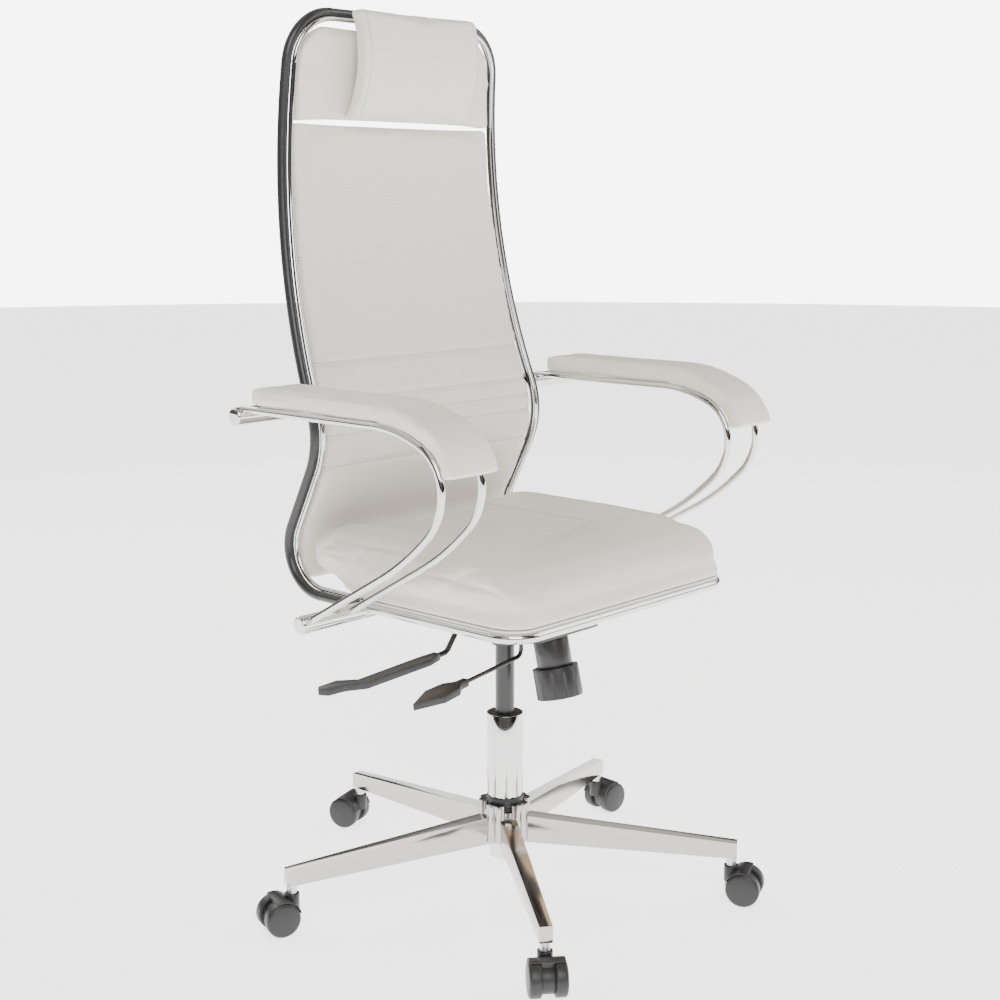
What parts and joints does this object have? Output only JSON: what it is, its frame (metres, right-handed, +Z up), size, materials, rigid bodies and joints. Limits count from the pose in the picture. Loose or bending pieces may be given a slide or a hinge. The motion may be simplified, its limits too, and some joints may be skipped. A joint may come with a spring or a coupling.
{
  "type": "office swivel chair",
  "caption": "High-back office swivel chair with padded seat, head pillow, looped chrome armrests, gas height column and star base on castors.",
  "frame": {"origin": "on the floor, where the axis of the gas column meets it", "axes": "+Z up, the seat faces -Y, +X is the sitter's left"},
  "size_m": [0.7389, 0.7214, 1.2803],
  "materials": {
    "polished_aluminium": "polished cast aluminium",
    "chrome": "bright chrome plate",
    "satin_steel": "bright turned steel",
    "black_paint": "black powder coat, satin",
    "black_plastic": "black moulded nylon, fine matt grain",
    "white_acetal": "natural acetal",
    "plywood": "birch plywood",
    "cream_leather": "cream smooth leather, light sheen",
    "cream_fabric": "cream fine perforated weave"
  },
  "bodies": {
    "base": {"star_base": "polished_aluminium", "castor_stems": "satin_steel", "column_tube": "chrome", "column_sleeve": "chrome", "hub_ring": "black_plastic", "guide_bush": "black_plastic", "piston_rod": "satin_steel", "rod_end_washers": "satin_steel"},
    "lift": {"lift_stem": "black_paint", "valve_pin": "satin_steel"},
    "mechanism": {"tilt_housing": "black_paint", "pivot_axle": "satin_steel", "lever_pins": "satin_steel", "tension_cup": "black_paint", "tension_spring": "satin_steel", "tension_bolt": "satin_steel"},
    "tension_adjuster": {"tension_knob": "black_plastic"},
    "height_lever": {"height_lever_rod": "black_paint", "height_lever_paddle": "black_plastic"},
    "tilt_lever": {"tilt_lever_rod": "black_paint", "tilt_lever_paddle": "black_plastic"},
    "seat_and_back": {"axle_bushes": "white_acetal", "seat_plate": "black_paint", "seat_board": "plywood", "seat_cushion": "cream_leather", "seat_gasket": "cream_leather", "seat_rim": "chrome", "lower_cross_tube": "chrome", "upper_cross_tube": "chrome", "tube_caps": "chrome", "back_frame": "black_paint", "back_bead": "chrome", "back_panel": "cream_fabric", "head_panel": "cream_leather", "head_pillow": "cream_leather", "arm_rods_left": "chrome", "arm_rods_right": "chrome", "arm_pad_left": "cream_leather", "arm_pad_right": "cream_leather", "mounting_screws": "satin_steel"},
    "castor_1": {"castor_1_hood": "black_plastic", "castor_1_axle": "satin_steel"},
    "wheel_1a": {"castor_1_wheel_a": "black_plastic"},
    "wheel_1b": {"castor_1_wheel_b": "black_plastic"},
    "castor_2": {"castor_2_hood": "black_plastic", "castor_2_axle": "satin_steel"},
    "wheel_2a": {"castor_2_wheel_a": "black_plastic"},
    "wheel_2b": {"castor_2_wheel_b": "black_plastic"},
    "castor_3": {"castor_3_hood": "black_plastic", "castor_3_axle": "satin_steel"},
    "wheel_3a": {"castor_3_wheel_a": "black_plastic"},
    "wheel_3b": {"castor_3_wheel_b": "black_plastic"},
    "castor_4": {"castor_4_hood": "black_plastic", "castor_4_axle": "satin_steel"},
    "wheel_4a": {"castor_4_wheel_a": "black_plastic"},
    "wheel_4b": {"castor_4_wheel_b": "black_plastic"},
    "castor_5": {"castor_5_hood": "black_plastic", "castor_5_axle": "satin_steel"},
    "wheel_5a": {"castor_5_wheel_a": "black_plastic"},
    "wheel_5b": {"castor_5_wheel_b": "black_plastic"}
  },
  "joints": [
    {"name": "seat_height", "type": "slide", "parent": "base", "child": "lift", "axis": [0, 0, 1], "range_m": [-0.085, 0.03]},
    {"name": "seat_swivel", "type": "hinge", "parent": "lift", "child": "mechanism", "pos_m": [0, 0, 0.4], "axis": [0, 0, 1], "continuous": true},
    {"name": "seat_tilt", "type": "hinge", "parent": "mechanism", "child": "seat_and_back", "pos_m": [0, 0.032, 0.426], "axis": [-1, 0, 0], "range_deg": [0, 15], "stiffness_Nm_per_rad": 60, "springref_deg": -20.05},
    {"name": "tension_turn", "type": "hinge", "parent": "mechanism", "child": "tension_adjuster", "pos_m": [0, -0.087, 0.40239], "axis": [0, -0.225, -0.9744], "range_deg": [-360, 360]},
    {"name": "height_lever_lift", "type": "hinge", "parent": "mechanism", "child": "height_lever", "pos_m": [-0.032, -0.06, 0.412], "axis": [0, 1, 0], "range_deg": [0, 7], "stiffness_Nm_per_rad": 2, "springref_deg": -11.46},
    {"name": "tilt_lever_lift", "type": "hinge", "parent": "mechanism", "child": "tilt_lever", "pos_m": [-0.04, 0.05, 0.412], "axis": [0, 1, 0], "range_deg": [0, 8]},
    {"name": "castor_1_swivel", "type": "hinge", "parent": "base", "child": "castor_1", "pos_m": [-0.31462, 0.12077, 0.05], "axis": [0, 0, 1], "continuous": true},
    {"name": "wheel_1a_roll", "type": "hinge", "parent": "castor_1", "child": "wheel_1a", "pos_m": [-0.33447, 0.12761, 0.025], "axis": [-0.3256, -0.9455, 0], "continuous": true},
    {"name": "wheel_1b_roll", "type": "hinge", "parent": "castor_1", "child": "wheel_1b", "pos_m": [-0.33447, 0.12761, 0.025], "axis": [-0.3256, -0.9455, 0], "continuous": true},
    {"name": "castor_2_swivel", "type": "hinge", "parent": "base", "child": "castor_2", "pos_m": [0.01764, 0.33654, 0.05], "axis": [0, 0, 1], "continuous": true},
    {"name": "wheel_2a_roll", "type": "hinge", "parent": "castor_2", "child": "wheel_2a", "pos_m": [0.01115, 0.35651, 0.025], "axis": [-0.9511, -0.309, 0], "continuous": true},
    {"name": "wheel_2b_roll", "type": "hinge", "parent": "castor_2", "child": "wheel_2b", "pos_m": [0.01115, 0.35651, 0.025], "axis": [-0.9511, -0.309, 0], "continuous": true},
    {"name": "castor_3_swivel", "type": "hinge", "parent": "base", "child": "castor_3", "pos_m": [0.32552, 0.08722, 0.05], "axis": [0, 0, 1], "continuous": true},
    {"name": "wheel_3a_roll", "type": "hinge", "parent": "castor_3", "child": "wheel_3a", "pos_m": [0.34644, 0.08539, 0.025], "axis": [0.0872, 0.9962, 0], "continuous": true},
    {"name": "wheel_3b_roll", "type": "hinge", "parent": "castor_3", "child": "wheel_3b", "pos_m": [0.34644, 0.08539, 0.025], "axis": [0.0872, 0.9962, 0], "continuous": true},
    {"name": "castor_4_swivel", "type": "hinge", "parent": "base", "child": "castor_4", "pos_m": [0.18354, -0.28263, 0.05], "axis": [0, 0, 1], "continuous": true},
    {"name": "wheel_4a_roll", "type": "hinge", "parent": "castor_4", "child": "wheel_4a", "pos_m": [0.19175, -0.30196, 0.025], "axis": [0.9205, 0.3907, 0], "continuous": true},
    {"name": "wheel_4b_roll", "type": "hinge", "parent": "castor_4", "child": "wheel_4b", "pos_m": [0.19175, -0.30196, 0.025], "axis": [0.9205, 0.3907, 0], "continuous": true},
    {"name": "castor_5_swivel", "type": "hinge", "parent": "base", "child": "castor_5", "pos_m": [-0.21208, -0.2619, 0.05], "axis": [0, 0, 1], "continuous": true},
    {"name": "wheel_5a_roll", "type": "hinge", "parent": "castor_5", "child": "wheel_5a", "pos_m": [-0.22586, -0.27775, 0.025], "axis": [0.7547, -0.6561, 0], "continuous": true},
    {"name": "wheel_5b_roll", "type": "hinge", "parent": "castor_5", "child": "wheel_5b", "pos_m": [-0.22586, -0.27775, 0.025], "axis": [0.7547, -0.6561, 0], "continuous": true}
  ]
}
